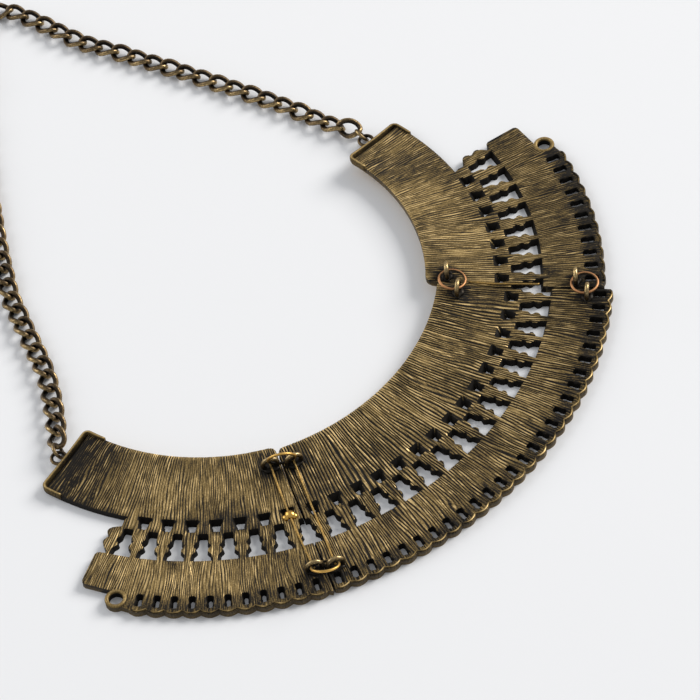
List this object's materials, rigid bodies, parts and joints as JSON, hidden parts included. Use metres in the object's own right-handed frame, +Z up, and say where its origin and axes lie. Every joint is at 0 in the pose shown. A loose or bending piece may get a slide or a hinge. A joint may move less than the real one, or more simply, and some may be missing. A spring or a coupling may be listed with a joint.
{
  "type": "bib necklace",
  "caption": "Bib necklace of pierced cast plates in a curve, hung on a curb chain, lying face down with its grooved back up.",
  "frame": {"origin": "on the front of the centre plate, under the middle of its lower band, which is the surface that the necklace lies on", "axes": "+Z up, out of the back of the plates; +Y from the middle of the bib towards the clasp; +X towards the right plate"},
  "size_m": [0.1791, 0.2189, 0.0073],
  "materials": {
    "cast_brass": "antiqued, with dark wavy grooves and worn ridges",
    "chain_brass": "antiqued satin",
    "ring_copper": "coppery, half polished"
  },
  "bodies": {
    "root": {"centre_plate": "cast_brass", "left_plate": "cast_brass", "right_plate": "cast_brass", "jump_ring_left_inner": "ring_copper", "jump_ring_left_outer": "ring_copper", "jump_ring_right_inner": "ring_copper", "jump_ring_right_outer": "ring_copper", "chain_left": "chain_brass", "chain_right": "chain_brass", "clasp": "chain_brass"}
  },
  "joints": []
}
